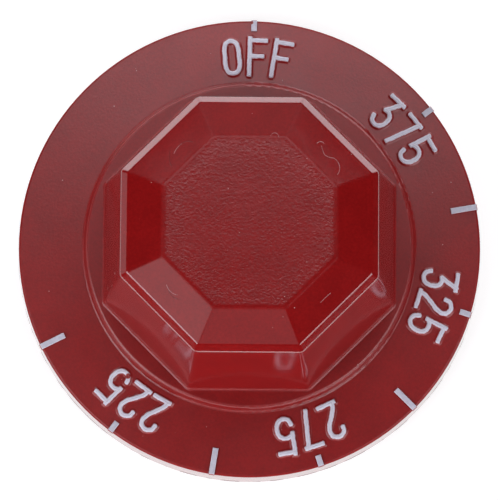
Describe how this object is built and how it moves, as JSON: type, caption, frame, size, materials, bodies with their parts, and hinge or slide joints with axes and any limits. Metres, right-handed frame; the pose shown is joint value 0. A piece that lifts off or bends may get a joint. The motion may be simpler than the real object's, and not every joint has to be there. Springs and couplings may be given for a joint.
{
  "type": "oven temperature dial knob",
  "caption": "Red moulded push-on control knob: a round dial skirt with raised temperature marks and OFF, and a tapered octagonal grip with a faceted top.",
  "frame": {"origin": "centre of the back rim plane, on the shaft axis", "axes": "+Z out along the shaft axis towards the grip's face, +Y towards the OFF mark, +X to the right of OFF seen from the front"},
  "size_m": [0.0572, 0.0572, 0.0239],
  "materials": {
    "red_moulding": "glossy grip, satin dial",
    "spring_steel": "bright spring temper",
    "white_paint": "satin paint on the raised marks"
  },
  "bodies": {
    "root": {"knob_body": "red_moulding", "shaft_spring_clip": "spring_steel"}
  },
  "joints": []
}
